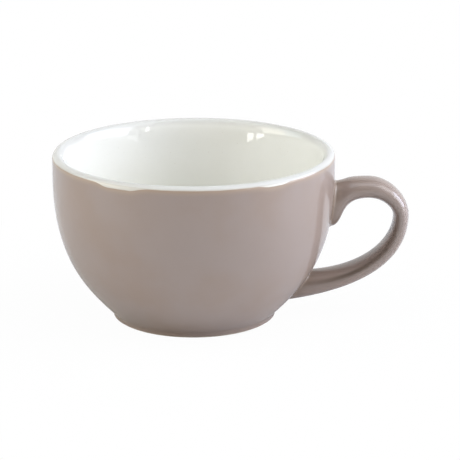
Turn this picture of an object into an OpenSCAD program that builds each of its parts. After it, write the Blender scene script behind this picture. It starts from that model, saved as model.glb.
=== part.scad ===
// Cappuccino cup: a wide bowl on a low turned foot, with a loop handle and a two-colour glaze.
// Millimetres. The cup stands on the XY plane, the bowl turns about Z and the handle points along +X.
// Every size of a glazed face is taken over its glaze, as a finished cup is measured.

/* [Bowl] */
// Diameter of the upright upper wall
rim_d = 100; // [92:0.5:108]
// Height from the table to the crest of the lip
cup_h = 60.3; // [50:0.1:66]
// Thickness of the wall at the rounded lip
lip_t = 4.0; // [3.2:0.1:4.8]
// How far below the crest of the lip the belly's curve turns into the upright wall
belly_top_drop = 9.4; // [7:0.1:13]
// Angle from upright at which the inside flares towards the lip
flare = 10.5; // [6:0.5:12]
// Height of the inside floor
floor_z = 7; // [6:0.1:8]
// Diameter of the flat part of the inside floor
floor_flat_d = 44; // [38:0.5:48]

/* [Foot] */
// Diameter of the foot
foot_d = 58; // [54:0.5:60]
// Height of the crease where the belly springs from the foot
neck_z = 1.8; // [1.4:0.1:2.4]
// Radius of the foot's outer bottom edge
foot_edge_r = 1.2; // [0.8:0.1:1.3]
// Width of the flat sole that touches the table
sole_w = 2.6; // [2:0.1:3.4]
// Radius of the foot's inner bottom edge
foot_inner_edge_r = 0.8; // [0.6:0.1:1]
// Height of the roof of the hollow inside the foot
hollow_z = 2.4; // [2.2:0.1:2.6]
// Radius of the fillet round the hollow's roof
hollow_fillet_r = 1.2; // [0.8:0.1:1.3]

/* [Handle] */
// How far the handle stands out from the upright wall
handle_reach = 26.5; // [24:0.1:30]
// Width of the handle across its strap
handle_w = 12.3; // [10:0.1:14]
// How far below the crest of the lip the handle's highest point lies
handle_top_drop = 10; // [7.5:0.1:13]
// How far out from the upright wall that highest point lies
crown_out = 11.9; // [10:0.1:13]
// Thickness of the strap at its highest point
crown_t = 7.2; // [5.6:0.1:7.6]
// How far below the crest of the lip the strap's outermost point lies
bend_drop = 23.3; // [21:0.1:25]
// Thickness of the strap at its outermost point
bend_t = 5.5; // [4.6:0.1:6]
// How much lower than that the inner face's outermost point lies
bend_lag = 0.7; // [0.2:0.1:1.2]
// How far below the crest of the lip the upper root's top edge meets the wall
upper_root_drop = 11.7; // [11.4:0.1:14]
// Height of the upper root on the wall, with its lobe
upper_root_h = 15.8; // [13:0.1:17]
// Height of the lower root's bottom edge on the belly
lower_root_z = 5; // [4.8:0.1:7]
// Height of the lower root on the belly
lower_root_h = 10.7; // [9:0.1:12]
// Squareness of the strap's section, where 2 is an ellipse
strap_squareness = 2.3; // [2:0.1:5]

/* [Joints and glaze] */
// Thickness of the luting slip between the handle and the bowl
slip_t = 0.4; // [0.3:0.05:0.6]
// Radius of the slip's bead round each joint
bead_r = 0.8; // [0.6:0.1:1.2]
// Thickness of the glaze
glaze_t = 0.3; // [0.2:0.05:0.4]
// How far below the crest of the lip the two colours meet
colour_line_drop = 1.1; // [0.6:0.1:1.6]
// Height above the table at which the outside glaze stops
bare_line_z = 0.6; // [0.5:0.05:0.8]

/* [Hidden] */

rim_r = rim_d / 2;
belly_top_z = cup_h - belly_top_drop;
handle_top_z = cup_h - handle_top_drop;
bend_z = cup_h - bend_drop;
upper_root_z = cup_h - upper_root_drop;
foot_r = foot_d / 2;
lip_r = lip_t / 2;
half_w = handle_w / 2;

// Each share pair below is [radial, vertical], as a share of the span from a curve's start to its end.
belly_start_shares = [0.43, 0.19];
belly_end_shares = [0, 0.60];
outer_root_shares = [[0.53, 0.38], [0.74, 0]];
outer_bend_shares = [[0.57, 0], [0, 0.41]];
outer_return_shares = [[0, 0.41], [0.79, 0.15]];
inner_root_shares = [[0.52, -0.20], [0.84, 0]];
inner_bend_shares = [[0.64, 0], [0, 0.36]];
inner_return_shares = [[0, 0.47], [0.67, 0.03]];
// The inside's curve leaves the lip for this share of its depth, and reaches its floor for this share of its span.
basin_start_share = 0.63;
basin_end_share = 0.58;

// The handle's roots are shaped on into the wall by this share of the lip, then trimmed to seat on it.
root_overrun = lip_t * 0.3;
// The bead feathers out to this share of the glaze that covers it.
feather_t = glaze_t * 0.2;

turn_fn = 180;
curve_steps = 26;
corner_steps = 6;
lip_steps = 12;
strap_sides = 28;
root_steps = 11;
bend_steps = 9;
return_steps = 13;
// The steps of the upper root shorten towards the wall by this power.
root_ease = 1.7;
// The upper joint's slip covers this many of the strap's first steps, and the lower joint's this many of its last.
upper_bead_steps = 5;
lower_bead_steps = 5;

// Cubic curve from a to b, whose inner points lie at shares of its span from each end
function spline(a, b, leave_shares, arrive_shares) = let (span = b - a) [
    a,
    a + [span[0] * leave_shares[0], span[1] * leave_shares[1]],
    b - [span[0] * arrive_shares[0], span[1] * arrive_shares[1]],
    b
];
function spline_point(c, t) =
    pow(1 - t, 3) * c[0] + 3 * pow(1 - t, 2) * t * c[1] + 3 * (1 - t) * t * t * c[2] + pow(t, 3) * c[3];
function spline_slope(c, t) =
    pow(1 - t, 2) * (c[1] - c[0]) + 2 * (1 - t) * t * (c[2] - c[1]) + t * t * (c[3] - c[2]);

function reversed(points) = [for (i = [len(points) - 1 : -1 : 0]) points[i]];
function tail(points) = [for (i = [1 : len(points) - 1]) points[i]];

// Points along a curve, moved to its left, which is into the clay, by depth
function run(c, steps, depth = 0, first = 0, ease = 1) = [
    for (i = [0 : steps])
        let (t = first + (1 - first) * pow(i / steps, ease), v = spline_slope(c, t))
        spline_point(c, t) + depth * [-v[1], v[0]] / norm(v)
];
function arc(centre, r, from, to, steps) = [
    for (i = [0 : steps]) let (a = from + (to - from) * i / steps) centre + r * [cos(a), sin(a)]
];

// The bowl's outline, travelled up the outside, over the lip and down the inside. The clay lies to the left.
foot_edge_centre = [foot_r - foot_edge_r, foot_edge_r - glaze_t];
bare_line_angle = asin((bare_line_z - foot_edge_centre[1]) / foot_edge_r);
lip_centre = [rim_r - lip_r, cup_h - lip_r];
colour_line_angle = asin((lip_r - colour_line_drop) / lip_r);
belly = spline([foot_r, neck_z], [rim_r, belly_top_z], belly_start_shares, belly_end_shares);
basin = let (
    start = lip_centre - lip_r * [cos(flare), -sin(flare)],
    end = [floor_flat_d / 2, floor_z],
    depth = start[1] - floor_z
) [
    start,
    start - depth * basin_start_share * [tan(flare), 1],
    [end[0] + (start[0] - end[0]) * basin_end_share, floor_z],
    end
];

// The crease at the neck is softened over the height of the foot's own upright edge.
neck_soft = neck_z - foot_edge_centre[1];
neck_first = neck_soft / (3 * norm(belly[1] - belly[0]));
neck = let (end = spline_point(belly, neck_first), low = [foot_r, foot_edge_centre[1]])
    [low, low + (belly[0] - low) * 2 / 3, end + (belly[0] - end) * 2 / 3, end];

function outside_line(depth) = concat(
    arc(foot_edge_centre, foot_edge_r - depth, bare_line_angle, 0, corner_steps),
    tail(run(neck, corner_steps, depth)),
    tail(run(belly, curve_steps, depth, neck_first)),
    arc(lip_centre, lip_r - depth, 0, colour_line_angle, corner_steps)
);
function inside_line(depth) = concat(
    arc(lip_centre, lip_r - depth, colour_line_angle, 180 - flare, lip_steps),
    tail(run(basin, curve_steps, depth)),
    [[0, floor_z - depth]]
);

// The underside, travelled from the axis out to the sole
sole_out_r = foot_edge_centre[0];
sole_in_r = sole_out_r - sole_w;
inner_edge_centre = [sole_in_r, foot_inner_edge_r - glaze_t];
hollow_r = sole_in_r - foot_inner_edge_r;
hollow_centre = [hollow_r - hollow_fillet_r, hollow_z - hollow_fillet_r];
function underside_line(depth) = concat(
    [[0, hollow_z + depth]],
    arc(hollow_centre, hollow_fillet_r + depth, 90, 0, corner_steps),
    [inner_edge_centre - [foot_inner_edge_r - depth, 0]]
);

module turned(points) {
    rotate_extrude($fn = turn_fn) polygon(points);
}

// A coat of glaze between the finished face and the clay under it
module coat(face, clay) {
    turned(concat(face, reversed(clay)));
}

// The bowl's outside filled to its axis, at a depth under the glazed face, which trims what seats on it
module bowl_filled(depth) {
    turned(concat([[0, 0]], outside_line(depth), [[0, cup_h]]));
}

// Radius of the glazed outside at a height
wall_table = [for (p = outside_line(0)) [p[1], p[0]]];
function wall_r(z) = lookup(z, wall_table);

// The strap runs between two rails in the XZ plane: its outer face and its inner face.
function on_wall(z) = [wall_r(z) - root_overrun, z];
outer_crown = [rim_r + crown_out, handle_top_z];
outer_bend = [rim_r + handle_reach, bend_z];
inner_crown = [rim_r + crown_out, handle_top_z - crown_t];
inner_bend = [rim_r + handle_reach - bend_t, bend_z - bend_lag];

function rail(start, crown, bend, end, root_shares, bend_shares, return_shares) = concat(
    run(spline(start, crown, root_shares[0], root_shares[1]), root_steps, ease = root_ease),
    tail(run(spline(crown, bend, bend_shares[0], bend_shares[1]), bend_steps)),
    tail(run(spline(bend, end, return_shares[0], return_shares[1]), return_steps))
);
outer_rail = rail(
    on_wall(upper_root_z), outer_crown, outer_bend, on_wall(lower_root_z),
    outer_root_shares, outer_bend_shares, outer_return_shares
);
inner_rail = rail(
    on_wall(upper_root_z - upper_root_h), inner_crown, inner_bend, on_wall(lower_root_z + lower_root_h),
    inner_root_shares, inner_bend_shares, inner_return_shares
);
last_ring = len(outer_rail) - 1;
lower_bead_ring = last_ring - lower_bead_steps;

// A point of the strap's section, on a superellipse between the rails, at a depth under its glazed face
function rounded(v) = sign(v) * pow(abs(v), 2 / strap_squareness);
function strap_point(k, i, depth) =
    let (
        a = i * 360 / strap_sides,
        across = outer_rail[k] - inner_rail[k],
        middle = (outer_rail[k] + inner_rail[k]) / 2,
        out = middle + across / norm(across) * (norm(across) / 2 - depth) * rounded(cos(a))
    )
    [out[0], (half_w - depth) * rounded(sin(a)), out[1]];

// The slip squeezed out round a joint stands out most at the wall and runs out one bead away from it.
function bead_at(p) =
    let (gap = max(0, norm([p[0], p[1]]) - wall_r(p[2])))
    feather_t + bead_r * pow(max(0, 1 - gap / bead_r), 2);
function slip_at(k, i) =
    k < upper_bead_steps || k > lower_bead_ring ? bead_at(strap_point(k, i, glaze_t)) : 0;

// Rings of the strap's bare clay, and rings pushed out by the slip on it, at a depth under the glazed face
function clay_rings(first, last) = [
    for (k = [first : last], i = [0 : strap_sides - 1]) strap_point(k, i, glaze_t)
];
function slipped_rings(first, last, depth) = [
    for (k = [first : last], i = [0 : strap_sides - 1]) strap_point(k, i, depth - slip_at(k, i))
];

// Triangles of the band between each ring and the next, counted from point base and facing out or in
function bands(rings, base = 0, inward = false) = [
    for (k = [0 : rings - 2], i = [0 : strap_sides - 1])
        let (a = base + k * strap_sides + i, b = base + k * strap_sides + (i + 1) % strap_sides)
        each inward
            ? [[a, b + strap_sides, b], [a, a + strap_sides, b + strap_sides]]
            : [[a, b, b + strap_sides], [a, b + strap_sides, a + strap_sides]]
];

// A solid length of strap, closed by its first and last rings
module strap(points) {
    near_end = [for (i = [strap_sides - 1 : -1 : 0]) i];
    far_end = [for (i = [len(points) - strap_sides : len(points) - 1]) i];
    polyhedron(points, concat(bands(len(points) / strap_sides), [near_end, far_end]), convexity = 6);
}

// A hollow length of strap between two sets of rings, closed by a narrow border at each end
module strap_coat(face, under) {
    rings = len(face) / strap_sides;
    base = len(face);
    last = base - strap_sides;
    borders = [
        for (i = [0 : strap_sides - 1])
            let (j = (i + 1) % strap_sides)
            each [
                [i, base + i, base + j], [i, base + j, j],
                [last + i, base + last + j, base + last + i], [last + i, last + j, base + last + j]
            ]
    ];
    polyhedron(
        concat(face, under),
        concat(bands(rings), bands(rings, base, true), borders),
        convexity = 8
    );
}

module bowl_body() {
    color("#e9e2d4")
    turned(concat(
        underside_line(glaze_t),
        tail(arc(inner_edge_centre, foot_inner_edge_r - glaze_t, 180, 270, corner_steps)),
        arc(foot_edge_centre, foot_edge_r - glaze_t, -90, bare_line_angle, corner_steps),
        tail(outside_line(glaze_t)),
        tail(inside_line(glaze_t))
    ));
}

module handle() {
    color("#e9e2d4")
    difference() {
        strap(clay_rings(0, last_ring));
        bowl_filled(glaze_t - slip_t);
    }
}

// The film under a root and the bead round it
module joint_slip(first, last) {
    color("#ded3c0")
    difference() {
        strap(slipped_rings(first, last, glaze_t));
        bowl_filled(glaze_t);
        handle();
    }
}

module upper_joint_slip() {
    joint_slip(0, upper_bead_steps);
}

module lower_joint_slip() {
    joint_slip(lower_bead_ring, last_ring);
}

module liner_glaze() {
    color("#f4f3ec") coat(inside_line(0), inside_line(glaze_t));
}

module outer_glaze() {
    color("#9b8b80")
    difference() {
        coat(outside_line(0), outside_line(glaze_t));
        strap(slipped_rings(0, last_ring, 0));
    }
}

module handle_glaze() {
    color("#9b8b80")
    difference() {
        strap_coat(slipped_rings(0, last_ring, 0), slipped_rings(0, last_ring, glaze_t));
        bowl_filled(glaze_t);
    }
}

module underside_glaze() {
    color("#9b8b80") coat(underside_line(0), underside_line(glaze_t));
}

bowl_body();
handle();
upper_joint_slip();
lower_joint_slip();
liner_glaze();
outer_glaze();
handle_glaze();
underside_glaze();
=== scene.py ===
"""Looks of a cappuccino cup: its glazes and clay, with floor, lamps and camera, over the CAD model.

Everything is in the CAD frame: the cup stands on the XY plane, its bowl turns about Z and its handle
points along +X. The cup's sizes are in millimetres, as in the CAD source, and a mesh is made in metres.
"""

import logging
import math
from dataclasses import dataclass, field, replace
from enum import Enum
from typing import Sequence

import bpy
import numpy as np
from mathutils import Matrix, Vector


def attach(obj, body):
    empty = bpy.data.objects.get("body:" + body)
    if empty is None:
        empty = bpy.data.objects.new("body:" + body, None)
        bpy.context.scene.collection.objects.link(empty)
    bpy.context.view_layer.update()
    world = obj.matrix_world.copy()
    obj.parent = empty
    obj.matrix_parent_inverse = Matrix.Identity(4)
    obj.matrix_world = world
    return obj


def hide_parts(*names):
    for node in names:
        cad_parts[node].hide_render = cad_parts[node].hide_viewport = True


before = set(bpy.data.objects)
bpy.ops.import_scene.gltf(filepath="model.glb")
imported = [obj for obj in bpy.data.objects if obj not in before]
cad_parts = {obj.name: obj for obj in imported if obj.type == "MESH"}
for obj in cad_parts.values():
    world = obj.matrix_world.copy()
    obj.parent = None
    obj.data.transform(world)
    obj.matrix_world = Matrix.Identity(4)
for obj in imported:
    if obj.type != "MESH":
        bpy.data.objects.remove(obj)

LOG = logging.getLogger("cappuccino_cup")
MM = 0.001
ROOT = "root"
FINE_STEPS = 2000

Pair = tuple[float, float]
Span = tuple[float, float]
Colour = tuple[float, float, float, float]
PLAIN_WHITE: Colour = (1.0, 1.0, 1.0, 1.0)


def colour(code: str) -> Colour:
    """Turns a written colour into the linear one that a shader takes.

    Args:
        code: Six hexadecimal digits, red, green and blue.

    Returns:
        Linear red, green and blue, and an alpha of 1.
    """
    parts = [int(code[i : i + 2], 16) / 255 for i in (0, 2, 4)]
    linear = [c / 12.92 if c <= 0.04045 else ((c + 0.055) / 1.055) ** 2.4 for c in parts]
    return (*linear, 1.0)


@dataclass(frozen=True)
class Cloud:
    """A cloudy noise pattern over an object.

    size is the width of its main clouds in millimetres, and seed picks one pattern. detail is how many
    finer layers it has, and roughness is how strong these are.
    """

    size: float
    seed: float
    detail: float = 2.0
    roughness: float = 0.5


class Term:
    """A socket in a node tree. Operators on it add Math nodes, so a sum is written as one."""

    def __init__(self, graph: "Graph", socket: bpy.types.NodeSocket | None) -> None:
        """Wraps an output socket of a node in graph."""
        self.graph = graph
        self.socket = socket

    def also(self, name: str) -> "Term":
        """Another output of the same node, by its name."""
        return Term(self.graph, self.socket.node.outputs[name])

    def _math(self, operation: str, *values: "Term | float") -> "Term":
        """Adds one Math node over values and gives its result."""
        return self.graph.node("ShaderNodeMath", {"operation": operation}, dict(enumerate(values)))

    def __add__(self, other: "Term | float") -> "Term":
        """Adds."""
        return self._math("ADD", self, other)

    __radd__ = __add__

    def __sub__(self, other: "Term | float") -> "Term":
        """Subtracts other."""
        return self._math("SUBTRACT", self, other)

    def __rsub__(self, other: "Term | float") -> "Term":
        """Subtracts this from other."""
        return self._math("SUBTRACT", other, self)

    def __mul__(self, other: "Term | float") -> "Term":
        """Multiplies."""
        return self._math("MULTIPLY", self, other)

    __rmul__ = __mul__

    def __truediv__(self, other: "Term | float") -> "Term":
        """Divides by other."""
        return self._math("DIVIDE", self, other)

    def __rtruediv__(self, other: "Term | float") -> "Term":
        """Divides other by this."""
        return self._math("DIVIDE", other, self)

    def __mod__(self, other: "Term | float") -> "Term":
        """What is left after whole divisions by other."""
        return self._math("MODULO", self, other)

    def floor(self) -> "Term":
        """Rounds down."""
        return self._math("FLOOR", self)

    def cos(self) -> "Term":
        """Cosine of an angle in radians."""
        return self._math("COSINE", self)

    def sin(self) -> "Term":
        """Sine of an angle in radians."""
        return self._math("SINE", self)

    def least(self, other: "Term | float") -> "Term":
        """The smaller of this and other."""
        return self._math("MINIMUM", self, other)

    def ramp(self, low: float, high: float) -> "Term":
        """Eases from 0 to 1 between two values of this.

        Args:
            low: Where the result is 0.
            high: Where it is 1. It may be the smaller of the two.

        Returns:
            The eased share.
        """
        flip = low > high
        sockets = {"Value": self, 1: min(low, high), 2: max(low, high), 3: float(flip), 4: float(not flip)}
        return self.graph.node("ShaderNodeMapRange", {"interpolation_type": "SMOOTHSTEP"}, sockets)

    def spread(self, low: float, high: float) -> "Term":
        """Goes evenly from low, where this is 0, to high, where it is 1."""
        return low + (high - low) * self


class Graph:
    """A node tree that is being built."""

    def __init__(self, tree: bpy.types.NodeTree) -> None:
        """Starts on an empty tree."""
        self.tree = tree

    def node(
        self,
        kind: str,
        settings: dict[str, object] | None = None,
        sockets: dict[int | str, object] | None = None,
        out: int | str = 0,
    ) -> Term:
        """Adds a node.

        Args:
            kind: Its type.
            settings: Its own properties, which are set first.
            sockets: A value or a Term for each input, by name or place.
            out: Which output to give.

        Returns:
            That output.
        """
        made = self.tree.nodes.new(kind)
        for name, value in (settings or {}).items():
            setattr(made, name, value)
        for key, value in (sockets or {}).items():
            if isinstance(value, Term):
                self.tree.links.new(value.socket, made.inputs[key])
            else:
                made.inputs[key].default_value = value
        return Term(self, made.outputs[out] if len(made.outputs) else None)

    def place(self) -> Term:
        """The point's own coordinates in the object, in metres."""
        return self.node("ShaderNodeTexCoord", out="Object")

    def height(self) -> Term:
        """The point's height over the table, in millimetres."""
        return self.node("ShaderNodeSeparateXYZ", None, {0: self.place()}, out="Z") / MM

    def away(self, x: float = 0.0, y: float = 0.0) -> Term:
        """The point's distance from an upright line, all in millimetres.

        Args:
            x: Where the line stands.
            y: Where the line stands.

        Returns:
            The distance.
        """
        parts = self.node("ShaderNodeSeparateXYZ", None, {0: self.place()})
        flat = self.node("ShaderNodeCombineXYZ", None, {0: parts, 1: parts.also("Y")})
        sockets = {0: flat, 1: (x * MM, y * MM, 0.0)}
        return self.node("ShaderNodeVectorMath", {"operation": "DISTANCE"}, sockets, out="Value") / MM

    def polar(self, radius: Term, angle: Term, height: Term) -> Term:
        """The place at a radius from Z, an angle round it and a height."""
        sockets = {0: radius * angle.cos(), 1: radius * angle.sin(), 2: height}
        return self.node("ShaderNodeCombineXYZ", None, sockets)

    def noise(self, cloud: Cloud) -> Term:
        """A cloudy noise from 0 to 1."""
        sockets = {
            "Vector": self.place(),
            "W": cloud.seed,
            "Scale": 1 / (cloud.size * MM),
            "Detail": cloud.detail,
            "Roughness": cloud.roughness,
        }
        return self.node("ShaderNodeTexNoise", {"noise_dimensions": "4D"}, sockets)

    def mark(self, name: str) -> Term:
        """A mark that a mesh carries on its points, and 0 on a mesh without it."""
        return self.node("ShaderNodeAttribute", {"attribute_name": name}, out="Fac")

    def mix(
        self, share: Term | float, first: Term | Colour, second: Term | Colour, blend: str = "MIX"
    ) -> Term:
        """Mixes two colours.

        Args:
            share: How much of the second, from 0 to 1.
            first: A colour.
            second: A colour.
            blend: How the second is laid on the first.

        Returns:
            The mixed colour.
        """
        settings = {"data_type": "RGBA", "blend_type": blend, "clamp_factor": True}
        return self.node("ShaderNodeMix", settings, {0: share, 6: first, 7: second}, out=2)

    def mottled(self, tone: Term, grain: Term, depth: float) -> Term:
        """Makes a colour lighter and darker with a grain.

        Args:
            tone: The colour.
            grain: A noise from 0 to 1.
            depth: How much lighter its peaks are than its dips.

        Returns:
            The mottled colour.
        """
        value = grain.spread(1 - depth / 2, 1 + depth / 2)
        grey = self.node("ShaderNodeCombineColor", None, {0: value, 1: value, 2: value})
        return self.mix(1.0, tone, grey, "MULTIPLY")

    def bump(self, strength: float, depth: float, height: Term) -> Term:
        """A normal that follows a height map, whose full height is depth in millimetres."""
        sockets = {"Strength": strength, "Distance": depth * MM, "Height": height}
        return self.node("ShaderNodeBump", None, sockets)

    def glow(self, strength: float) -> Term:
        """A shader that is plain white at a strength, whatever the lamps."""
        return self.node("ShaderNodeEmission", None, {"Color": PLAIN_WHITE, "Strength": strength})

    def either(self, share: Term, first: Term, second: Term) -> Term:
        """Mixes two shaders, share of the second."""
        return self.node("ShaderNodeMixShader", None, {0: share, 1: first, 2: second})

    def seen_directly(self) -> tuple[Term, Term]:
        """Tells rays apart.

        Returns:
            1 for a ray from the camera or one let through by the object, and 1 for a ray that it mirrors.
        """
        path = self.node("ShaderNodeLightPath", out="Is Camera Ray")
        return (path + path.also("Is Transmission Ray")).least(1.0), path.also("Is Glossy Ray")


class Slot(Enum):
    """The record's material slots."""

    CLAY = "bare_clay"
    SLIP = "joint_slip"
    WHITE = "white_glaze"
    TAUPE = "taupe_glaze"


class Finish:
    """A material that is built node by node. A finish says what its surface is, and make does the rest."""

    name: str

    def surface(self, g: Graph) -> Term:
        """Adds the finish's own nodes and gives its shader."""
        raise NotImplementedError

    def make(self) -> bpy.types.Material:
        """Builds the material.

        Returns:
            The material, named for its slot or its place in the studio.
        """
        material = bpy.data.materials.new(self.name)
        material.use_nodes = True
        material.node_tree.nodes.clear()
        g = Graph(material.node_tree)
        g.node("ShaderNodeOutputMaterial", None, {"Surface": self.surface(g)})
        return material


@dataclass(frozen=True)
class Specks:
    """Specks of another colour, where a fine noise passes through a span near its peaks."""

    tone: Colour
    cloud: Cloud
    span: Span
    cover: float

    def over(self, g: Graph, tone: Term) -> Term:
        """Lays the specks over a colour."""
        return g.mix(g.noise(self.cloud).ramp(*self.span) * self.cover, tone, self.tone)


@dataclass(frozen=True)
class Relief:
    """The unevenness of a poured glaze: grain, ripples and drifts, as shares of a depth in millimetres."""

    grain: float = 0.10
    ripple: float = 0.9
    drift: float = 2.0
    ripples: Cloud = Cloud(7, 5.5, 1)
    depth: float = 0.05

    def normal(self, g: Graph, grain: Term, drift: Term) -> Term:
        """Makes the glaze's normal.

        Args:
            g: The material's graph.
            grain: The finish's fine noise.
            drift: The finish's broad noise.

        Returns:
            The normal.
        """
        height = self.grain * grain + self.ripple * g.noise(self.ripples) + self.drift * drift
        return g.bump(1.0, self.depth, height)


@dataclass(frozen=True)
class Run:
    """A place at the lip where the white glaze runs lower outside. Lengths are in millimetres."""

    x: float
    y: float
    width: float
    depth: float
    core: float = 0.35

    def drop(self, g: Graph) -> Term:
        """How far it runs down at each point: full in its core, and nothing past its width."""
        return self.depth * g.away(self.x, self.y).ramp(self.width, self.core * self.width)


@dataclass(frozen=True)
class TaupeGlaze(Finish):
    """The satin taupe glaze of the outside, under a thin glassy top.

    It is browner where it thins out towards the colour line, and there the white glaze laps over it in an
    uneven edge with a few runs. The handle's coat carries three marks for it: "pool" near the joints, where
    the glaze pools dark; "hollow" inside the loop, a dark band of painted shade; and "corner", along the
    outer edges, where the glaze is thin and the lighter colour is also a painted highlight. A cover is how
    fully a mark shows, from the least to the most. Lengths are in millimetres.
    """

    line_z: float
    name: str = Slot.TAUPE.value
    body: Colour = colour("96857c")
    drifted: Colour = colour("937e70")
    # thin is the colour of thinned glaze; where the corner mark lays it on the handle's outer edges, it is
    # also a painted highlight.
    thin: Colour = colour("a48e7a")
    pooled: Colour = colour("85705e")
    # deep is the colour of the painted shade inside the handle's loop.
    deep: Colour = colour("55412f")
    lap: Colour = colour("d0ccc2")
    drift: Cloud = Cloud(27, 1.3, 3)
    grain: Cloud = Cloud(1.6, 4.1, 4, 0.6)
    edge: Cloud = Cloud(9, 2.9, 3, 0.6)
    flecks: Specks = Specks(colour("85705e"), Cloud(0.42, 7.7, 1), (0.70, 0.78), 0.35)
    relief: Relief = Relief()
    drifted_span: Span = (0.35, 0.7)
    edge_span: Span = (0.3, 0.8)
    grain_depth: float = 0.03
    pool_cover: Span = (0.55, 1.05)
    thin_edge_and_highlight_cover: Span = (0.25, 0.55)
    hollow_shade_cover: Span = (0.85, 1.0)
    uneven: Span = (0.8, 1.2)
    lap_depth: Span = (0.03, 0.15)
    lap_span: Span = (-0.06, 0.10)
    thin_depth: float = 2.2
    runs: tuple[Run, ...] = (Run(-25.5, -43.0, 11.0, 1.15), Run(27.5, -41.5, 7.0, 0.55))
    roughness: Span = (0.55, 0.61)
    lap_gloss: float = 0.14

    def surface(self, g: Graph) -> Term:
        """Adds the glaze's nodes.

        Args:
            g: The material's graph.

        Returns:
            Its shader.
        """
        drift, grain = g.noise(self.drift), g.noise(self.grain)
        tone = g.mix(drift.ramp(*self.drifted_span), self.body, self.drifted)
        tone = self.flecks.over(g, g.mottled(tone, grain, self.grain_depth))
        tone = g.mix(g.mark("pool") * drift.spread(*self.pool_cover), tone, self.pooled)
        # The corner mark lightens the strap's outer edges: thin glaze, and partly a painted highlight.
        tone = g.mix(g.mark("corner") * grain.spread(*self.thin_edge_and_highlight_cover), tone, self.thin)
        # Painted shade: the hollow mark darkens a band inside the loop.
        tone = g.mix(g.mark("hollow") * drift.spread(*self.hollow_shade_cover), tone, self.deep)

        above = self._above_line(g)
        near_line = (above + self.thin_depth * drift.spread(*self.uneven)).ramp(0.0, self.thin_depth)
        white = above.ramp(*self.lap_span)
        tone = g.mix(white, g.mix(near_line, tone, self.thin), self.lap)
        sockets = {
            "Base Color": tone,
            "Roughness": grain.spread(*self.roughness) - self.lap_gloss * white,
            "IOR": 1.75,
            "Coat Weight": 0.85,
            "Coat Roughness": 0.10,
            "Coat IOR": 1.5,
            "Normal": self.relief.normal(g, grain, drift),
        }
        return g.node("ShaderNodeBsdfPrincipled", None, sockets)

    def _above_line(self, g: Graph) -> Term:
        """How far a point lies above the white glaze's uneven edge.

        Args:
            g: The material's graph.

        Returns:
            That height, negative below the edge.
        """
        edge = g.noise(self.edge)
        above = g.height() - self.line_z + edge.ramp(*self.edge_span).spread(*self.lap_depth)
        for run in self.runs:
            above = above + edge.spread(*self.uneven) * run.drop(g)
        return above


@dataclass(frozen=True)
class WhiteGlaze(Finish):
    """The glossy white glaze of the inside and the lip.

    It is a little darker towards the bottom, partly where the glaze pools and partly as painted shade. Over
    the lip it is less glossy where it is thin and greyer as painted shade, and it is greyest along its edge
    outside. Lengths are in millimetres.
    """

    line_z: float
    name: str = Slot.WHITE.value
    body: Colour = colour("e9e8e2")
    # Darker glaze towards the bottom: partly where it pools, partly painted shade.
    thick_and_shaded: Colour = colour("dcdcd0")
    # rim is the grey of painted shade over the lip.
    rim: Colour = colour("d2d1cc")
    thin: Colour = colour("cbc7be")
    drift: Cloud = Cloud(24, 3.2, 3)
    grain: Cloud = Cloud(1.3, 6.4, 4, 0.6)
    pits: Specks = Specks(colour("b9ad98"), Cloud(0.5, 9.9, 0), (0.80, 0.84), 0.4)
    relief: Relief = Relief()
    grain_depth: float = 0.02
    thick_and_shaded_span: Span = (50.0, 14.0)
    thick_and_shaded_drift: float = 6.0
    rim_shade_span: Span = (57.6, 59.8)
    outer_span: Span = (48.6, 49.3)
    thin_span: Span = (0.25, -0.1)
    thin_drift: float = 0.3
    roughness: Span = (0.02, 0.05)
    rim_roughness: float = 0.2
    rough_span: Span = (57.8, 59.4)

    def surface(self, g: Graph) -> Term:
        """Adds the glaze's nodes.

        Args:
            g: The material's graph.

        Returns:
            Its shader.
        """
        z = g.height()
        drift, grain = g.noise(self.drift), g.noise(self.grain)
        # Pooled glaze and painted shade: darker towards the bottom.
        tone = g.mix((z + self.thick_and_shaded_drift * drift).ramp(*self.thick_and_shaded_span), self.body, self.thick_and_shaded)
        tone = self.pits.over(g, g.mottled(tone, grain, self.grain_depth))
        # Painted shade: the lip greys towards its crest.
        tone = g.mix(z.ramp(*self.rim_shade_span), tone, self.rim)
        low = (z - self.line_z - self.thin_drift * drift).ramp(*self.thin_span)
        tone = g.mix(g.away().ramp(*self.outer_span) * low, tone, self.thin)
        sockets = {
            "Base Color": tone,
            "Roughness": grain.spread(*self.roughness) + self.rim_roughness * z.ramp(*self.rough_span),
            "IOR": 1.5,
            "Normal": self.relief.normal(g, grain, drift),
        }
        return g.node("ShaderNodeBsdfPrincipled", None, sockets)


@dataclass(frozen=True)
class FiredClay(Finish):
    """Matt fired clay: fine grain, iron specks and a slight stain."""

    name: str = Slot.CLAY.value
    body: Colour = colour("e4dccd")
    stain: Colour = colour("cdbfa8")
    blots: Cloud = Cloud(9, 2.2, 4, 0.6)
    grain: Cloud = Cloud(0.35, 8.3, 3, 0.7)
    specks: Specks = Specks(colour("7d6a55"), Cloud(0.6, 5.1, 1), (0.72, 0.78), 0.6)
    stain_span: Span = (0.4, 0.75)
    grain_depth: float = 0.14
    relief_strength: float = 0.8
    relief_depth: float = 0.04
    roughness: Span = (0.65, 0.85)

    def surface(self, g: Graph) -> Term:
        """Adds the clay's nodes.

        Args:
            g: The material's graph.

        Returns:
            Its shader.
        """
        grain = g.noise(self.grain)
        tone = g.mix(g.noise(self.blots).ramp(*self.stain_span), self.body, self.stain)
        sockets = {
            "Base Color": self.specks.over(g, g.mottled(tone, grain, self.grain_depth)),
            "Roughness": grain.spread(*self.roughness),
            "IOR": 1.45,
            "Normal": g.bump(self.relief_strength, self.relief_depth, grain),
        }
        return g.node("ShaderNodeBsdfPrincipled", None, sockets)


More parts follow.
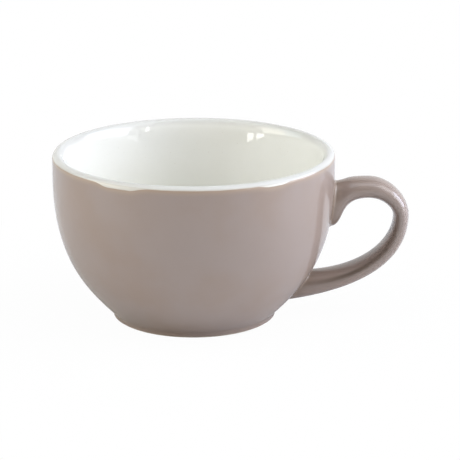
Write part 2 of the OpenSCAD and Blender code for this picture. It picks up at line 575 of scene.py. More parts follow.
def joint_slip() -> FiredClay:
    """The finish of the slip that joins the handle on: the clay's, a little darker and smoother."""
    clay = FiredClay()
    return replace(
        clay,
        name=Slot.SLIP.value,
        body=colour("d8ccb8"),
        stain=colour("c5b597"),
        specks=replace(clay.specks, tone=colour("8a7760")),
        roughness=(0.6, 0.8),
    )


@dataclass(frozen=True)
class StudioFloor(Finish):
    """A plain white table that keeps a soft shadow under the cup.

    To the camera it fades to pure white over one span of distances from the cup's axis, in millimetres.
    near_share is how much of that white it shows already under the cup. The glaze mirrors it as the lamps
    light it, and as white past a second span, farther out.
    """

    name: str = "studio_floor"
    body: Colour = colour("e4e4e4")
    fade: Span = (50.0, 140.0)
    near_share: float = 0.97
    mirrored_fade: Span = (500.0, 550.0)

    def surface(self, g: Graph) -> Term:
        """Adds the table's nodes.

        Args:
            g: The material's graph.

        Returns:
            Its shader.
        """
        away = g.away()
        seen, mirrored = g.seen_directly()
        plain = away.ramp(*self.fade).spread(self.near_share, 1.0)
        shown = seen * plain + mirrored * away.ramp(*self.mirrored_fade)
        lit = g.node("ShaderNodeBsdfDiffuse", None, {"Color": self.body})
        return g.either(shown, lit, g.glow(1.0))


@dataclass(frozen=True)
class StudioBackdrop(Finish):
    """A wall behind the cup, white to the camera and in the glaze, that gives little light of its own."""

    name: str = "studio_backdrop"
    dim: float = 0.25

    def surface(self, g: Graph) -> Term:
        """Adds the wall's nodes."""
        seen, mirrored = g.seen_directly()
        return g.either((seen + mirrored).least(1.0), g.glow(self.dim), g.glow(1.0))


def bezier(points: Sequence[Sequence[float]], steps: int) -> np.ndarray:
    """Points along a cubic curve.

    Args:
        points: Its start, its two handles and its end.
        steps: How many steps it is walked in.

    Returns:
        One row for each point.
    """
    a, b, c, d = (np.asarray(p, float) for p in points)
    t = np.linspace(0, 1, steps + 1)[:, None]
    return (1 - t) ** 3 * a + 3 * (1 - t) ** 2 * t * b + 3 * (1 - t) * t * t * c + t**3 * d


def shares(
    start: Sequence[float], end: Sequence[float], leave: Sequence[float], arrive: Sequence[float]
) -> list[np.ndarray]:
    """A cubic curve whose handles are shares of its span.

    Args:
        start: Its first point.
        end: Its last point.
        leave: Shares of the span from the start to the first handle.
        arrive: Shares of the span from the end back to the second handle.

    Returns:
        Its four points.
    """
    a, d = np.asarray(start, float), np.asarray(end, float)
    span = d - a
    return [a, a + span * np.asarray(leave), d - span * np.asarray(arrive), d]


def arc(centre: Sequence[float], radius: float, start: float, end: float, steps: int) -> np.ndarray:
    """Points round a circle, from one angle in degrees to another."""
    angle = np.radians(np.linspace(start, end, steps + 1))
    return np.asarray(centre) + radius * np.c_[np.cos(angle), np.sin(angle)]


def thinned(line: np.ndarray, count: int) -> np.ndarray:
    """Picks count points of a line, evenly by their order, with both of its ends."""
    return line[np.linspace(0, len(line) - 1, count).round().astype(int)]


def pushed_in(line: np.ndarray, depth: float) -> np.ndarray:
    """Moves a line to its left, which for the cup's outlines is into the clay.

    Args:
        line: A row of radius and height for each point.
        depth: How far it moves, in millimetres.

    Returns:
        The moved line.
    """
    along = np.gradient(line, axis=0)
    left = np.c_[-along[:, 1], along[:, 0]] / np.linalg.norm(along, axis=1)[:, None]
    return line + depth * left


def steps_along(line: np.ndarray) -> np.ndarray:
    """How far along a line each of its points lies."""
    return np.r_[0, np.cumsum(np.linalg.norm(np.diff(line, axis=0), axis=1))]


def rise(values: np.ndarray, low: float, high: float) -> np.ndarray:
    """Goes evenly from 0 at low to 1 at high, and stays level past both."""
    return np.clip((values - low) / (high - low), 0, 1)


def placed(name: str, data: bpy.types.ID) -> bpy.types.Object:
    """Puts something into the scene as an object.

    Args:
        name: The object's name.
        data: The mesh, lamp or camera.

    Returns:
        The object.
    """
    made = bpy.data.objects.new(name, data)
    bpy.context.scene.collection.objects.link(made)
    return made


def face_outwards(piece: bpy.types.Object) -> None:
    """Turns a closed mesh's faces outwards, if its volume comes out negative.

    Args:
        piece: The object of the closed mesh.
    """
    mesh = piece.data
    mesh.calc_loop_triangles()
    points = np.empty(len(mesh.vertices) * 3)
    mesh.vertices.foreach_get("co", points)
    corners = np.empty(len(mesh.loop_triangles) * 3, dtype=np.int32)
    mesh.loop_triangles.foreach_get("vertices", corners)
    a, b, c = points.reshape(-1, 3)[corners.reshape(-1, 3)].transpose(1, 0, 2)
    if np.einsum("ij,ij->i", a, np.cross(b, c)).sum() < 0:
        mesh.flip_normals()


def settle(piece: bpy.types.Object, node: str) -> None:
    """Lets a piece ride with the cup and stand for a CAD node.

    Args:
        piece: The finished piece.
        node: The name of the CAD node.
    """
    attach(piece, ROOT)
    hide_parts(node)
    LOG.info("piece %s: %d faces, stands for %s", piece.name, len(piece.data.polygons), node)


def dress(node: str, finish: bpy.types.Material) -> None:
    """Gives a CAD node that stays its finished material.

    Args:
        node: The name of the CAD node.
        finish: Its material.
    """
    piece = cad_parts[node]
    for place in piece.material_slots:
        place.material = finish
    LOG.info("CAD node %s dressed in %s", node, finish.name)


class Knob(Enum):
    """The inputs of the turning tree: each one's name and the type of its socket."""

    OUTLINE = ("Outline", "NodeSocketGeometry")
    STEPS = ("Steps", "NodeSocketInt")
    WAVER = ("Waver", "NodeSocketFloat")
    CLOUD = ("Cloud Size", "NodeSocketFloat")
    FINISH = ("Finish", "NodeSocketMaterial")

    def __init__(self, label: str, kind: str) -> None:
        """Names the two parts."""
        self.label = label
        self.kind = kind


@dataclass
class Turning:
    """A Geometry Nodes tree that turns an outline about Z, as a potter's wheel does.

    The object's own mesh is the outline: its points in order, in the XZ plane. A grid has a column for each
    step of the turn and a row for each point, and every grid point takes the outline's place for its row.
    The wall wavers inwards a little, because no fired wall is perfectly round, and the waver dies away
    inside calm_r. Lengths are in millimetres.
    """

    steps: int = 288
    waver: float = 0.02
    cloud: float = 40.0
    cloud_seed: float = 3.7
    calm_r: float = 10.0
    weld: float = 0.0005
    rounding: float = 0.0005
    tree: bpy.types.NodeTree = field(init=False)
    sockets: dict[Knob, str] = field(init=False)

    def __post_init__(self) -> None:
        """Builds the tree once for every outline."""
        self.tree = bpy.data.node_groups.new("turning", "GeometryNodeTree")
        face = self.tree.interface
        made = {knob: face.new_socket(knob.label, in_out="INPUT", socket_type=knob.kind) for knob in Knob}
        self.sockets = {knob: socket.identifier for knob, socket in made.items()}
        face.new_socket("Turned", in_out="OUTPUT", socket_type=Knob.OUTLINE.kind)
        self._fill(Graph(self.tree))

    def _fill(self, g: Graph) -> None:
        """Adds the nodes.

        Args:
            g: The graph of the empty tree.
        """
        given = g.node("NodeGroupInput", out=Knob.OUTLINE.label)
        steps = given.also(Knob.STEPS.label)
        size = g.node("GeometryNodeAttributeDomainSize", {"component": "MESH"}, {0: given})
        rows = size.also("Point Count")
        grid = g.node("GeometryNodeMeshGrid", None, {"Vertices X": steps + 1, "Vertices Y": rows})
        index = g.node("GeometryNodeInputIndex")
        place = g.node(
            "GeometryNodeSampleIndex",
            {"data_type": "FLOAT_VECTOR", "domain": "POINT", "clamp": True},
            {0: given, "Value": g.node("GeometryNodeInputPosition"), "Index": index % rows},
        )
        parts = g.node("ShaderNodeSeparateXYZ", None, {0: place})
        radius, height = parts.also("X"), parts.also("Z")
        angle = (index / rows + self.rounding).floor() * (2 * math.pi) / steps
        cloud = g.node(
            "ShaderNodeTexNoise",
            {"noise_dimensions": "4D"},
            {
                "Vector": g.polar(radius, angle, height),
                "W": self.cloud_seed,
                "Scale": 1 / given.also(Knob.CLOUD.label),
                "Detail": 1.0,
            },
        )
        calm = (radius / (self.calm_r * MM)).least(1.0)
        wavered = radius - given.also(Knob.WAVER.label) * cloud * calm
        sockets = {0: grid, "Position": g.polar(wavered, angle, height)}
        moved = g.node("GeometryNodeSetPosition", None, sockets)
        joined = g.node("GeometryNodeMergeByDistance", None, {0: moved, "Distance": self.weld * MM})
        smooth = g.node("GeometryNodeSetShadeSmooth", None, {0: joined})
        real = g.node("GeometryNodeRealizeInstances", None, {0: smooth})
        sockets = {0: real, "Material": given.also(Knob.FINISH.label)}
        g.node("NodeGroupOutput", None, {0: g.node("GeometryNodeSetMaterial", None, sockets)})

    def turn(self, name: str, outline: np.ndarray, finish: bpy.types.Material) -> bpy.types.Object:
        """Turns one outline into a piece.

        Args:
            name: The piece's name.
            outline: Its points, radius and height in millimetres. A closed one ends where it starts.
            finish: Its material.

        Returns:
            The piece, as a plain mesh with its faces outwards.
        """
        mesh = bpy.data.meshes.new(name)
        mesh.from_pydata([(r * MM, 0.0, z * MM) for r, z in outline], [], [])
        piece = placed(name, mesh)
        modifier = piece.modifiers.new("turning", "NODES")
        modifier.node_group = self.tree
        sizes = {Knob.STEPS: self.steps, Knob.WAVER: self.waver * MM, Knob.CLOUD: self.cloud * MM}
        for knob, value in {**sizes, Knob.FINISH: finish}.items():
            modifier[self.sockets[knob]] = value
        graph = bpy.context.evaluated_depsgraph_get()
        made = bpy.data.meshes.new_from_object(piece.evaluated_get(graph), depsgraph=graph)
        piece.modifiers.remove(modifier)
        piece.data = made
        made.name = name
        bpy.data.meshes.remove(mesh)
        face_outwards(piece)
        return piece


@dataclass
class Bowl:
    """The bowl: its clay and the three coats of glaze on it.

    Outside, one curve sweeps from the foot's neck up to the straight band under the rim. Inside, another
    sweeps from the wall's flare into the flat floor. Its handles take flare_share of its drop and
    floor_arrive of its run. A third takes the lip's crest over into it: it leaves the crest level, ends
    lip_blend under the rim, and its two handles are blend_leave and blend_arrive long. Lengths are in
    millimetres and angles in degrees. A size ending in _r is a radius, _z a height over the table and _w a
    width.
    """

    turning: Turning
    rim_r: float = 50.0
    height: float = 60.3
    lip_r: float = 2.0
    belly_top_z: float = 50.9
    belly_leave: Pair = (0.43, 0.19)
    belly_arrive: Pair = (0.0, 0.60)
    flare: float = 10.5
    flare_share: float = 0.63
    floor_arrive: float = 0.58
    lip_blend: float = 4.6
    blend_leave: float = 1.30
    blend_arrive: float = 2.3
    floor_z: float = 7.0
    floor_flat_r: float = 22.0
    foot_r: float = 29.0
    neck_z: float = 1.8
    foot_edge_r: float = 1.2
    sole_w: float = 2.6
    inner_edge_r: float = 0.8
    hollow_z: float = 2.4
    hollow_fillet_r: float = 1.2
    glaze: float = 0.3
    line_drop: float = 1.1
    bare_z: float = 0.6
    belly_steps: int = 110
    corner_steps: int = 12
    lip_steps: int = 40
    band_points: int = 8
    floor_points: int = 16
    sole_points: int = 6
    lip_centre: Pair = field(init=False)
    foot_centre: Pair = field(init=False)
    line_angle: float = field(init=False)
    bare_angle: float = field(init=False)
    sole_in_r: float = field(init=False)
    line_z: float = field(init=False)
    line: np.ndarray = field(init=False)

    def __post_init__(self) -> None:
        """Works out the places that several outlines share."""
        self.line_z = self.height - self.line_drop
        self.lip_centre = (self.rim_r - self.lip_r, self.height - self.lip_r)
        self.line_angle = math.degrees(math.asin((self.lip_r - self.line_drop) / self.lip_r))
        self.foot_centre = (self.foot_r - self.foot_edge_r, self.foot_edge_r - self.glaze)
        self.bare_angle = math.degrees(math.asin((self.bare_z - self.foot_centre[1]) / self.foot_edge_r))
        self.sole_in_r = self.foot_centre[0] - self.sole_w
        self.line = self.outside(0.0)

    def outside(self, depth: float) -> np.ndarray:
        """The outside from the bare line at the foot up to the colour line.

        Args:
            depth: How deep the line lies under the glazed face.

        Returns:
            A row of radius and height for each point.
        """
        top = (self.rim_r, self.belly_top_z)
        belly = shares((self.foot_r, self.neck_z), top, self.belly_leave, self.belly_arrive)
        low = np.array([self.foot_r, self.foot_centre[1]])
        # A small curve rounds the neck off, with both its handles two thirds of the way to the corner.
        corner = belly[0]
        first = (self.neck_z - low[1]) / (3 * np.linalg.norm(belly[1] - corner))
        curve = bezier(belly, FINE_STEPS)[int(round(first * FINE_STEPS)) :]
        neck = [low, low + (corner - low) * 2 / 3, curve[0] + (corner - curve[0]) * 2 / 3, curve[0]]
        face = np.vstack(
            [
                arc(self.foot_centre, self.foot_edge_r, self.bare_angle, 0, self.corner_steps)[:-1],
                bezier(neck, self.corner_steps)[:-1],
                thinned(curve, self.belly_steps),
                np.linspace(top, (self.rim_r, self.lip_centre[1]), self.band_points)[1:-1],
                arc(self.lip_centre, self.lip_r, 0, self.line_angle, self.corner_steps),
            ]
        )
        return pushed_in(face, depth)

    def inside(self, depth: float) -> np.ndarray:
        """The lip from the colour line, and the inside down to the middle of the floor.

        Args:
            depth: How deep the line lies under the glazed face.

        Returns:
            A row of radius and height for each point.
        """
        turn = math.radians(180 - self.flare)
        start = np.array(self.lip_centre) + self.lip_r * np.array([math.cos(turn), math.sin(turn)])
        end = np.array([self.floor_flat_r, self.floor_z])
        down = np.array([-math.tan(math.radians(self.flare)), -1.0])
        first = start + self.flare_share * (start[1] - self.floor_z) * down
        last = end + [(start[0] - end[0]) * self.floor_arrive, 0.0]
        basin = bezier([start, first, last, end], FINE_STEPS)
        basin = thinned(basin[basin[:, 1] < self.height - self.lip_blend], self.belly_steps)
        crest = np.array([self.lip_centre[0], self.height])
        level, steep = [self.blend_leave, 0.0], self.blend_arrive * down
        over = bezier([crest, crest - level, basin[0] - steep, basin[0]], self.lip_steps)
        lip = arc(self.lip_centre, self.lip_r, self.line_angle, 90, self.lip_steps)
        floor = np.linspace(end, (0.0, self.floor_z), self.floor_points)
        face = pushed_in(np.vstack([lip[:-1], over[:-1], basin, floor[1:]]), depth)
        face[-1, 0] = 0.0
        return face

    def underside(self, depth: float) -> np.ndarray:
        """The hollow under the base, from the axis out to the sole's inner edge.

        Args:
            depth: How deep the line lies under the glazed face.

        Returns:
            A row of radius and height for each point.
        """
        hollow_r = self.sole_in_r - self.inner_edge_r
        centre = (hollow_r - self.hollow_fillet_r, self.hollow_z - self.hollow_fillet_r)
        roof_z = self.hollow_z + depth
        roof = np.linspace((0.0, roof_z), (centre[0], roof_z), self.floor_points)[:-1]
        fillet = arc(centre, self.hollow_fillet_r + depth, 90, 0, self.corner_steps)
        return np.vstack([roof, fillet, [(hollow_r + depth, self.inner_edge_r - self.glaze)]])

    def clay(self) -> np.ndarray:
        """The whole outline of the bowl's clay, whose sole shows as a bare ring.

        Returns:
            A row of radius and height for each point, from the hollow's middle to the floor's.
        """
        g = self.glaze
        sole = np.linspace((self.sole_in_r, 0.0), (self.foot_centre[0], 0.0), self.sole_points)
        inner_edge = (self.sole_in_r, self.inner_edge_r - g)
        return np.vstack(
            [
                self.underside(g)[:-1],
                arc(inner_edge, self.inner_edge_r - g, 180, 270, self.corner_steps),
                sole[1:-1],
                arc(self.foot_centre, self.foot_edge_r - g, -90, self.bare_angle, self.corner_steps)[:-1],
                self.outside(g),
                self.inside(g)[1:],
            ]
        )

    def build(self, finishes: dict[Slot, bpy.types.Material]) -> None:
        """Makes the bowl's pieces and lets each stand for its CAD node.

        Args:
            finishes: The material of each slot.
        """
        clay = self.turning.turn("clay_bowl", self.clay(), finishes[Slot.CLAY])
        settle(clay, "bowl_body")
        coats = (
            ("white_liner", self.inside, Slot.WHITE, "liner_glaze"),
            ("taupe_outside", self.outside, Slot.TAUPE, "outer_glaze"),
            ("foot_hollow", self.underside, Slot.TAUPE, "underside_glaze"),
        )
        for name, line, slot, node in coats:
            face, under = line(0.0), line(self.glaze)
            loop = np.vstack([face, under[::-1], face[:1]])
            settle(self.turning.turn(name, loop, finishes[slot]), node)

    def gap(self, points: np.ndarray) -> np.ndarray:
        """How far points lie outside the glazed wall.

        Args:
            points: One row of x, y and z for each, in millimetres.

        Returns:
            A distance for each, negative inside the wall.
        """
        radii, heights = self.line.T
        slope = np.interp(points[..., 2], heights, np.gradient(radii) / np.gradient(heights))
        radius = np.interp(points[..., 2], heights, radii)
        return (np.hypot(points[..., 0], points[..., 1]) - radius) / np.hypot(1.0, slope)


class Joint(Enum):
    """The handle's two joints: their ends of the strap, and places along it that are clear of the wall."""

    UPPER = ("upper", 0.0, 0.30)
    LOWER = ("lower", 1.0, 0.66)

    def __init__(self, label: str, end: float, clear: float) -> None:
        """Names the three parts.

        Args:
            label: How the names of its pieces start.
            end: Its end of the strap.
            clear: A place along the strap that is clear of the wall.
        """
        self.label = label
        self.end = end
        self.clear = clear


@dataclass(frozen=True)
class HollowShade:
    """The dark band of painted shade in the hollow of the loop, at one place along the strap.

    along is the place, from 0 at the upper joint to 1 at the lower one. strength is how dark the band is
    there, and middle is where across the strap it lies, from -1 inside the loop to 1 outside.
    """

    along: float
    strength: float
    middle: float


@dataclass
class Handle:
    """The loop handle, lofted between two rails in the XZ plane: its glaze and the slip that joins it on.

    Each rail has three curves between four knots, and each curve's pulls are the shares of its span that
    its two handles take. The strap's section is a superellipse of an even width. Lengths are in
    millimetres, and edges sharper than crease, in degrees, stay sharp. A size ending in _z is a height over
    the table, _h a joint's height and _t a thickness.
    """

    bowl: Bowl
    width: float = 12.3
    reach: float = 26.5
    top_z: float = 50.3
    crown_out: float = 11.9
    crown_t: float = 7.2
    bend_z: float = 37.0
    bend_t: float = 5.5
    bend_lag: float = 0.7
    upper_z: float = 48.6
    upper_h: float = 15.8
    lower_z: float = 5.0
    lower_h: float = 10.7
    outer_pulls: tuple[tuple[Pair, Pair], ...] = (
        ((0.53, 0.38), (0.74, 0.0)),
        ((0.57, 0.0), (0.0, 0.41)),
        ((0.0, 0.41), (0.79, 0.15)),
    )
    inner_pulls: tuple[tuple[Pair, Pair], ...] = (
        ((0.52, -0.20), (0.84, 0.0)),
        ((0.64, 0.0), (0.0, 0.36)),
        ((0.0, 0.47), (0.67, 0.03)),
    )
    squareness: float = 2.3
    overrun: float = 1.2
    soften: float = 0.5
    soften_widths: float = 3.0
    bead_r: float = 0.9
    bead_crowding: float = 1.3
    slip_under: float = 0.02
    slip_depth: float = 0.1
    crease: float = 60.0
    sides: int = 88
    rings: int = 170
    bead_steps: int = 9
    rail_steps: tuple[int, ...] = (200, 220, 320)
    rail_points: int = 1201
    outline_points: int = 20001
    halvings: int = 40
    pool_reach: float = 4.0
    pool_fall: float = 1.5
    thin_edge_and_highlight_span: Span = (0.55, 0.85)
    # The hollow fields below lay painted shade: a dark band on the strap inside the loop.
    hollow_shade_sides: Span = (0.3, 0.6)
    hollow_shade_width_in: float = 0.15
    hollow_shade_width_out: float = 0.36
    hollow_shades: tuple[HollowShade, ...] = (
        HollowShade(0.0, 0.15, -0.58),
        HollowShade(0.20, 0.10, -0.58),
        HollowShade(0.36, 0.35, -0.58),
        HollowShade(0.50, 0.75, -0.60),
        HollowShade(0.62, 0.95, -0.52),
        HollowShade(0.74, 1.0, -0.40),
        HollowShade(0.86, 0.55, -0.36),
        HollowShade(1.0, 0.15, -0.36),
    )
    rails: np.ndarray = field(init=False)
    angles: np.ndarray = field(init=False)

    def __post_init__(self) -> None:
        """Lays the rails."""
        out = self.bowl.rim_r + self.crown_out
        tip = self.bowl.rim_r + self.reach
        outer = [
            self._on_wall(self.upper_z),
            (out, self.top_z),
            (tip, self.bend_z),
            self._on_wall(self.lower_z),
        ]
        inner = [
            self._on_wall(self.upper_z - self.upper_h),
            (out, self.top_z - self.crown_t),
            (tip - self.bend_t, self.bend_z - self.bend_lag),
            self._on_wall(self.lower_z + self.lower_h),
        ]
        rails = np.hstack([self._rail(outer, self.outer_pulls), self._rail(inner, self.inner_pulls)])
        self.rails = self._softened(rails)
        self.angles = self._even_angles()

    def _on_wall(self, z: float) -> Pair:
        """A rail's end: a little inside the wall at a height."""
        radii, heights = self.bowl.line.T
        return (float(np.interp(z, heights, radii)) - self.overrun, z)

    def _rail(self, knots: Sequence[Pair], pulls: Sequence[tuple[Pair, Pair]]) -> np.ndarray:
        """Joins three curves through four knots into one rail."""
        runs = [
            bezier(shares(start, end, *pull), steps)[:-1]
            for start, end, pull, steps in zip(knots, knots[1:], pulls, self.rail_steps)
        ]
        return np.vstack([*runs, knots[-1:]])

    def _softened(self, rails: np.ndarray) -> np.ndarray:
        """Respaces the pair of rails evenly and evens out their curvature where two curves meet.

        Args:
            rails: A row for each point, with x and z of the outer rail and then of the inner one.

        Returns:
            The same columns at evenly spaced points.
        """
        far = steps_along((rails[:, :2] + rails[:, 2:]) / 2)
        even = np.linspace(0, far[-1], self.rail_points)
        spaced = np.column_stack([np.interp(even, far, column) for column in rails.T])
        step = even[1]
        reach = int(self.soften_widths * self.soften / step)
        bell = np.exp(-0.5 * (np.arange(-reach, reach + 1) * step / self.soften) ** 2)
        bell /= bell.sum()
        before = 2 * spaced[0] - spaced[reach:0:-1]
        after = 2 * spaced[-1] - spaced[-2 : -reach - 2 : -1]
        padded = np.vstack([before, spaced, after])
        return np.column_stack([np.convolve(column, bell, "valid") for column in padded.T])

    def _section(self, angle: np.ndarray) -> tuple[np.ndarray, np.ndarray]:
        """Points of the unit superellipse.

        Args:
            angle: Angles in radians.

        Returns:
            A place across the rails and one along Y for each.
        """
        power = 2 / self.squareness
        c, s = np.cos(angle), np.sin(angle)
        return np.sign(c) * np.abs(c) ** power, np.sign(s) * np.abs(s) ** power

    def _even_angles(self) -> np.ndarray:
        """Angles that space the section's points evenly along its outline.

        Returns:
            One angle in radians for each side.
        """
        dense = np.linspace(0, 2 * np.pi, self.outline_points)
        across, along = self._section(dense)
        far = steps_along(np.c_[across * self.crown_t / 2, along * self.width / 2])
        return np.interp(np.arange(self.sides) * far[-1] / self.sides, far, dense)

    def point(self, s: np.ndarray, growth: np.ndarray | float) -> np.ndarray:
        """Points of the strap's surface.

        Args:
            s: How far along the strap, from 0 to 1, one for each side.
            growth: How far the surface stands out from the glazed face.

        Returns:
            A row of x, y and z for each side.
        """
        at = np.asarray(s) * (len(self.rails) - 1)
        low = np.clip(at.astype(int), 0, len(self.rails) - 2)
        share = (at - low)[..., None]
        rails = self.rails[low] * (1 - share) + self.rails[low + 1] * share
        across = rails[..., :2] - rails[..., 2:]
        length = np.linalg.norm(across, axis=-1)
        u, v = self._section(self.angles)
        middle = (rails[..., :2] + rails[..., 2:]) / 2
        out = middle + across / length[..., None] * ((length / 2 + growth) * u)[..., None]
        return np.stack([out[..., 0], (self.width / 2 + growth) * v, out[..., 1]], axis=-1)

    def _meets(self, gap: float, growth: float, joint: Joint) -> np.ndarray:
        """Finds by halving where each side of the strap has a given gap to the wall.

        Args:
            gap: The distance from the glazed wall.
            growth: How far the surface stands out there.
            joint: Which joint.

        Returns:
            A place along the strap for each side.
        """
        inside = np.full(self.sides, joint.end)
        outside = np.full(self.sides, joint.clear)
        for _ in range(self.halvings):
            middle = (inside + outside) / 2
            free = self.bowl.gap(self.point(middle, growth)) > gap
            outside = np.where(free, middle, outside)
            inside = np.where(free, inside, middle)
        return (inside + outside) / 2

    def bead(self, joint: Joint, depth: float) -> list[tuple[np.ndarray, float]]:
        """The rings of a joint's bead, from the wall out to where it has feathered away.

        Args:
            joint: Which joint.
            depth: How deep the rings lie under the glazed face.

        Returns:
            For each ring how far along the strap its points lie, and how far they stand out from the face.
        """
        far = np.linspace(0, 1, self.bead_steps + 1) ** self.bead_crowding
        rings = [(self.bead_r * g, self.bead_r * (1 - g) ** 2 - depth) for g in far]
        return [(self._meets(gap, growth, joint), growth) for gap, growth in rings]

    def skin(self, depth: float) -> tuple[np.ndarray, np.ndarray]:
        """The strap's surface, with a bead on to the wall at each end.

        Args:
            depth: How deep it lies under the glazed face.

        Returns:
            Rings of points, and each point's gap to the wall.
        """
        upper, lower = self.bead(Joint.UPPER, depth), self.bead(Joint.LOWER, depth)
        first, last = upper[-1][0], lower[-1][0]
        ways = np.linspace(0, 1, self.rings + 1)[1:-1]
        between = [(first + (last - first) * way, -depth) for way in ways]
        rings = np.array([self.point(s, growth) for s, growth in [*upper, *between, *lower[::-1]]])
        return rings, self.bowl.gap(rings)

    def shell(
        self, name: str, outer: np.ndarray, inner: np.ndarray, finish: bpy.types.Material
    ) -> bpy.types.Object:
        """Makes a closed piece between two equal sets of rings.

        Args:
            name: The piece's name.
            outer: Rings of points on its face, in millimetres.
            inner: As many rings under these.
            finish: Its material.

        Returns:
            The piece, with its faces outwards.
        """
        rings, sides = outer.shape[:2]
        grid = np.arange(rings * sides).reshape(rings, sides)
        ahead = np.roll(grid, -1, axis=1)
        skins = np.stack([grid[:-1], ahead[:-1], ahead[1:], grid[1:]], axis=-1).reshape(-1, 4)
        base = rings * sides
        start = np.stack([grid[0], grid[0] + base, ahead[0] + base, ahead[0]], axis=-1)
        end = np.stack([grid[-1], ahead[-1], ahead[-1] + base, grid[-1] + base], axis=-1)
        faces = np.vstack([skins, skins[:, ::-1] + base, start, end])
        points = np.vstack([outer.reshape(-1, 3), inner.reshape(-1, 3)]) * MM
        mesh = bpy.data.meshes.new(name)
        mesh.from_pydata(points.tolist(), [], faces.tolist())
        mesh.shade_smooth()
        mesh.set_sharp_from_angle(angle=math.radians(self.crease))
        mesh.materials.append(finish)
        piece = placed(name, mesh)
        face_outwards(piece)
        return piece

    def build(self, finishes: dict[Slot, bpy.types.Material]) -> None:
        """Makes the handle's coat of glaze and the slip under it at both joints.

        Args:
            finishes: The material of each slot.
        """
        glaze = self.bowl.glaze
        face, gaps = self.skin(0.0)
        coat = self.shell("handle_coat", face, self.skin(glaze)[0], finishes[Slot.TAUPE])
        self._mark(coat.data, gaps)
        settle(coat, "handle_glaze")
        for joint in Joint:
            rings = self.bead(joint, glaze + self.slip_under)
            outer = np.array([self.point(s, growth) for s, growth in rings])
            inner = np.array([self.point(s, -glaze - self.slip_depth) for s, _ in rings])
            slip = self.shell(f"{joint.label}_slip", outer, inner, finishes[Slot.SLIP])
            settle(slip, f"{joint.label}_joint_slip")

    def _mark(self, mesh: bpy.types.Mesh, gaps: np.ndarray) -> None:
        """Stores the marks that the taupe glaze reads: where it pools, where it is thin, partly with a
        painted highlight, and where it carries painted shade.

        Args:
            mesh: The coat's mesh.
            gaps: The gap to the wall of each point of its face.
        """
        u, v = self._section(self.angles)
        marks = {
            "pool": (1 - rise(gaps, 0, self.pool_reach)) ** self.pool_fall,
            # corner: the outer edges, thin glaze and partly a painted highlight.
            "corner": np.broadcast_to(rise(np.abs(u * v), *self.thin_edge_and_highlight_span) * (u > 0), gaps.shape),
            # hollow: painted shade, a dark band inside the loop.
            "hollow": self._hollow_shade(u, len(gaps)) * rise(np.abs(v), *self.hollow_shade_sides),
        }
        for name, values in marks.items():
            both_skins = np.tile(np.asarray(values, np.float32).ravel(), 2)
            mesh.attributes.new(name, "FLOAT", "POINT").data.foreach_set("value", both_skins)

    def _hollow_shade(self, u: np.ndarray, rings: int) -> np.ndarray:
        """How strongly the painted shade, a dark band, shows.

        Args:
            u: Where each side lies across the strap.
            rings: How many rings the strap has.

        Returns:
            A row for each ring with a strength for each side.
        """
        along = [hollow.along for hollow in self.hollow_shades]
        steps = np.linspace(0, 1, rings)
        strength = np.interp(steps, along, [hollow.strength for hollow in self.hollow_shades])[:, None]
        beyond = u - np.interp(steps, along, [hollow.middle for hollow in self.hollow_shades])[:, None]
        width = np.where(beyond > 0, self.hollow_shade_width_out, self.hollow_shade_width_in)
        return strength * np.exp(-((beyond / width) ** 2))


@dataclass(frozen=True)
class Lamp:
    """A soft flat rectangular lamp that looks at the cup. Its distance and sizes are in metres.

    Azimuth 0 is on the camera's side and 90 is on the handle's side. Radiance is how bright the lamp's own
    face looks, where 1 is white.
    """

    name: str
    azimuth: float
    elevation: float
    distance: float
    width: float
    height: float
    radiance: float
    tint: tuple[float, float, float] = (1.0, 1.0, 1.0)
    aim: tuple[float, float, float] = (0.0, 0.0, 0.03)

    def build(self) -> None:
        """Makes the lamp."""
        light = bpy.data.lights.new(self.name, "AREA")
        light.shape = "RECTANGLE"
        light.size, light.size_y = self.width, self.height
        light.energy = self.radiance * math.pi * self.width * self.height
        light.color = self.tint
        lamp = placed(self.name, light)
        a, e = math.radians(self.azimuth), math.radians(self.elevation)
        back = Vector((math.sin(a) * math.cos(e), -math.cos(a) * math.cos(e), math.sin(e)))
        lamp.location = Vector(self.aim) + back * self.distance
        lamp.rotation_mode = "QUATERNION"
        lamp.rotation_quaternion = (-back).to_track_quat("-Z", "Y")
        LOG.info("lamp %s", self.name)


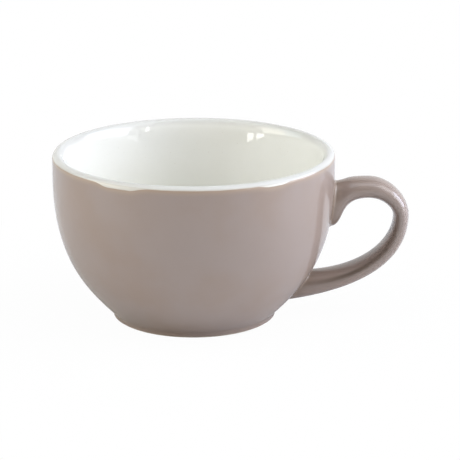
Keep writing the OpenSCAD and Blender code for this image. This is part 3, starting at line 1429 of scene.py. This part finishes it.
@dataclass
class Studio:
    """The floor, the surrounding light, the lamps and the camera.

    The softboxes and panels stand at both sides, as round a product on a table. Their heights keep the
    bowl's upright inner wall from mirroring them, apart from the low strip at the right and the two small
    flashes at the left. Lengths are in metres, except for the sensor's millimetres, and angles in degrees.
    px means the photograph's pixels.
    """

    floor_half: float = 3.0
    wall_height: float = 3.0
    world_strength: float = 0.20
    world_tint: Colour = (0.97, 0.97, 0.91, 1.0)
    lamps: tuple[Lamp, ...] = (
        Lamp("right_softbox", 76, 21, 1.1, 0.52, 0.50, 6.0, (0.90, 0.95, 1.07)),
        Lamp("right_low_strip", 69, 3.0, 1.1, 0.66, 0.13, 3.2, (0.95, 0.97, 1.0)),
        Lamp("right_front_spot", 44, 19, 1.1, 0.06, 0.22, 12.0, (1.0, 0.98, 0.96)),
        Lamp("right_back_panel", 103, 21, 1.1, 0.42, 0.50, 7.1, (0.93, 0.99, 1.20)),
        Lamp("right_high_panel", 74, 50, 1.1, 0.95, 0.52, 2.5, (0.97, 0.98, 1.0)),
        Lamp("left_softbox", -80, 25, 1.1, 0.46, 0.50, 4.4, (0.97, 0.92, 0.80)),
        Lamp("left_front_panel", -57, 26, 1.1, 0.40, 0.50, 0.6, (1.0, 0.85, 0.65)),
        Lamp("left_back_panel", -103, 25, 1.1, 0.42, 0.50, 2.4, (0.70, 0.88, 1.0)),
        Lamp("left_high_panel", -70, 52, 1.1, 0.80, 0.52, 1.9),
        Lamp("top_panel", 0, 80, 1.2, 0.90, 0.90, 1.5, (0.88, 0.94, 1.06)),
        Lamp("left_flash_a", -54.2, 5.4, 1.2, 0.125, 0.20, 9.0, (1.0, 0.97, 0.93)),
        Lamp("left_flash_b", -64.2, 5.6, 1.2, 0.165, 0.20, 9.0, (1.0, 0.97, 0.93)),
    )
    sensor: float = 36.0
    focal_px: float = 2520.4
    frame_px: float = 460.0
    centre_px: Pair = (193.974, 235.327)
    view_elevation: float = 16.5
    view_distance: float = 0.9
    look_z: float = 0.029
    roll: float = -0.289

    @staticmethod
    def panel(name: str, corners: Sequence[Sequence[float]], finish: bpy.types.Material) -> None:
        """Makes one flat face of the set.

        Args:
            name: The panel's name.
            corners: Its four corners.
            finish: Its material.
        """
        mesh = bpy.data.meshes.new(name)
        mesh.from_pydata(corners, [], [(0, 1, 2, 3)])
        mesh.materials.append(finish)
        panel = placed(name, mesh)

    def floor(self) -> None:
        """Makes the table and the wall behind it."""
        h = self.floor_half
        self.panel("floor", [(-h, -h, 0), (h, -h, 0), (h, h, 0), (-h, h, 0)], StudioFloor().make())
        wall = [(h, h, 0), (-h, h, 0), (-h, h, self.wall_height), (h, h, self.wall_height)]
        self.panel("backdrop", wall, StudioBackdrop().make())

    def world(self) -> None:
        """Lights the cup plainly from all round, and shows white where the camera looks past the set."""
        world = bpy.data.worlds.new("studio")
        bpy.context.scene.world = world
        world.use_nodes = True
        world.node_tree.nodes.clear()
        g = Graph(world.node_tree)
        sockets = {"Color": self.world_tint, "Strength": self.world_strength}
        dim = g.node("ShaderNodeBackground", None, sockets)
        white = g.node("ShaderNodeBackground", None, {"Color": PLAIN_WHITE, "Strength": 1.0})
        seen, _ = g.seen_directly()
        g.node("ShaderNodeOutputWorld", None, {"Surface": g.either(seen, dim, white)})

    def camera(self) -> None:
        """Makes the camera: the photograph's view, with the small shift that its framing needs."""
        data = bpy.data.cameras.new("camera")
        data.sensor_width = self.sensor
        data.lens = self.focal_px / self.frame_px * self.sensor
        half = self.frame_px / 2
        data.shift_x = (half - self.centre_px[0]) / self.frame_px
        data.shift_y = (self.centre_px[1] - half) / self.frame_px
        camera = placed("camera", data)
        e = math.radians(self.view_elevation)
        forward = Vector((0, math.cos(e), -math.sin(e)))
        level = forward.to_track_quat("-Z", "Y").to_matrix()
        camera.rotation_euler = (level @ Matrix.Rotation(math.radians(self.roll), 3, "Z")).to_euler()
        camera.location = Vector((0, 0, self.look_z)) - forward * self.view_distance
        bpy.context.scene.camera = camera

    def build(self) -> None:
        """Sets up the whole studio."""
        self.floor()
        self.world()
        for lamp in self.lamps:
            lamp.build()
        self.camera()
        bpy.context.scene.view_settings.view_transform = "Standard"


def main() -> None:
    """Builds the cup's looks and the studio round the CAD model."""
    logging.basicConfig(level=logging.INFO, format="%(name)s: %(message)s")
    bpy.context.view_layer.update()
    bowl = Bowl(Turning())
    finishes = {
        Slot.CLAY: FiredClay().make(),
        Slot.SLIP: joint_slip().make(),
        Slot.WHITE: WhiteGlaze(bowl.line_z).make(),
        Slot.TAUPE: TaupeGlaze(bowl.line_z).make(),
    }
    bowl.build(finishes)
    Handle(bowl).build(finishes)
    dress("handle", finishes[Slot.CLAY])
    Studio().build()


if __name__ == "__main__":
    main()
